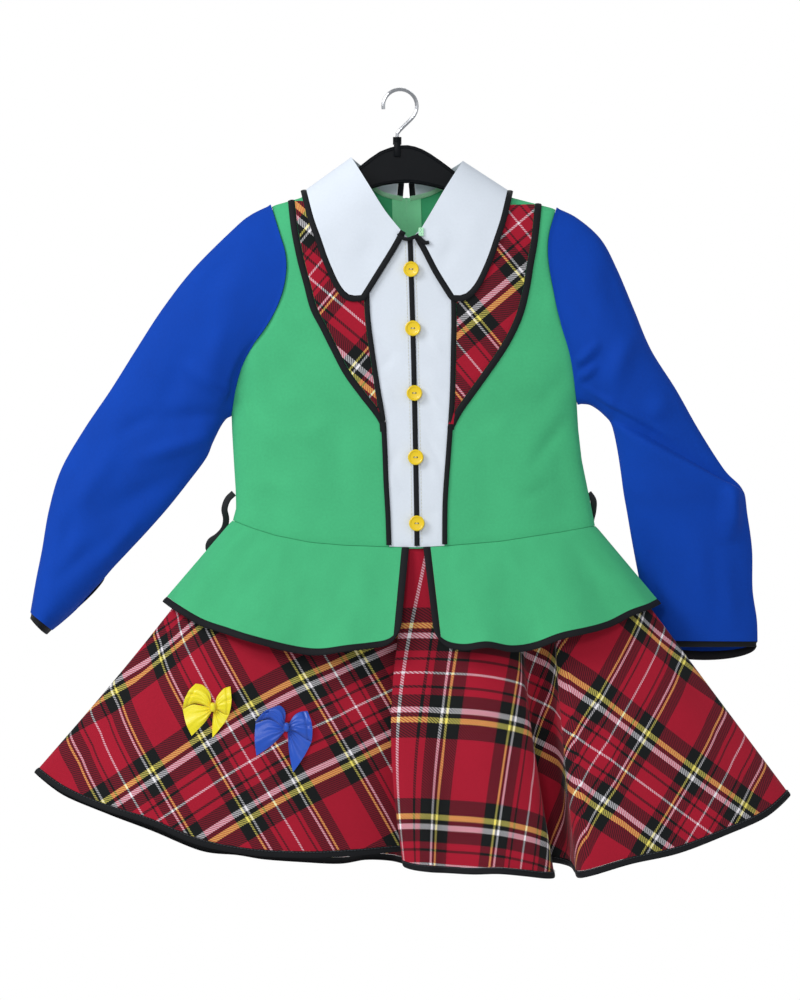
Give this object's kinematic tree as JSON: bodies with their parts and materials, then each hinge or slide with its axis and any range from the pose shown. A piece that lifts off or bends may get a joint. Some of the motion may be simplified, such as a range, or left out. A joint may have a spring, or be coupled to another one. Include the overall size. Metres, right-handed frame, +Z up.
{
  "type": "clown costume on a coat hanger",
  "caption": "Child's clown costume: green jacket dress with white shirt front, tartan lapels and skirt, blue sleeves and peplum, hanging on a plastic hanger.",
  "frame": {"origin": "inside top of the hanger's hook, where a rail carries it", "axes": "+X to the right of a viewer facing the front, +Y from the front to the back, +Z up"},
  "size_m": [0.7083, 0.1432, 0.733],
  "materials": {
    "green_cloth": "plain woven polyester, matt",
    "white_cloth": "plain woven polyester, matt",
    "blue_cloth": "plain woven polyester, soft sheen",
    "tartan_cloth": "red tartan twill, matt",
    "black_binding": "folded bias tape, matt",
    "yellow_button": "moulded, semi gloss",
    "yellow_satin": "satin",
    "blue_satin": "satin",
    "black_plastic": "moulded, gloss",
    "hook_wire": "bright plated wire",
    "zip_coil": "nylon coil",
    "zip_metal": "die cast, plated"
  },
  "bodies": {
    "garment": {"bodice_front_left": "green_cloth", "bodice_front_right": "green_cloth", "bodice_back_left": "green_cloth", "bodice_back_right": "green_cloth", "peplum_front_left": "green_cloth", "peplum_front_right": "green_cloth", "peplum_back": "green_cloth", "shirt_front_left": "white_cloth", "shirt_front_right": "white_cloth", "collar_left": "white_cloth", "collar_right": "white_cloth", "sleeve_left": "blue_cloth", "sleeve_right": "blue_cloth", "lapel_left": "tartan_cloth", "lapel_right": "tartan_cloth", "skirt_front": "tartan_cloth", "skirt_back": "tartan_cloth", "plastron_binding_left": "black_binding", "plastron_binding_right": "black_binding", "placket_piping": "black_binding", "lapel_binding_left": "black_binding", "lapel_binding_right": "black_binding", "collar_binding_left": "black_binding", "collar_binding_right": "black_binding", "cuff_binding_left": "black_binding", "cuff_binding_right": "black_binding", "skirt_hem_binding": "black_binding", "peplum_binding_front_left": "black_binding", "peplum_binding_front_right": "black_binding", "peplum_binding_back": "black_binding", "waist_tie_left": "black_binding", "waist_tie_right": "black_binding", "button_1": "yellow_button", "button_2": "yellow_button", "button_3": "yellow_button", "button_4": "yellow_button", "button_5": "yellow_button", "bow_yellow_left": "yellow_satin", "bow_yellow_right": "yellow_satin", "bow_yellow_knot": "yellow_satin", "bow_blue_left": "blue_satin", "bow_blue_right": "blue_satin", "bow_blue_knot": "blue_satin", "hanger_body": "black_plastic", "hook_socket": "black_plastic", "hanger_hook": "hook_wire", "zip_teeth": "zip_coil", "zip_slider": "zip_metal"},
    "zip_pull": {"zip_pull": "zip_metal"}
  },
  "joints": [
    {"name": "zip_pull_swing", "type": "hinge", "parent": "garment", "child": "zip_pull", "pos_m": [0.0063, 0.02815, -0.1125], "axis": [1, 0, 0], "range_deg": [0, 120]}
  ]
}
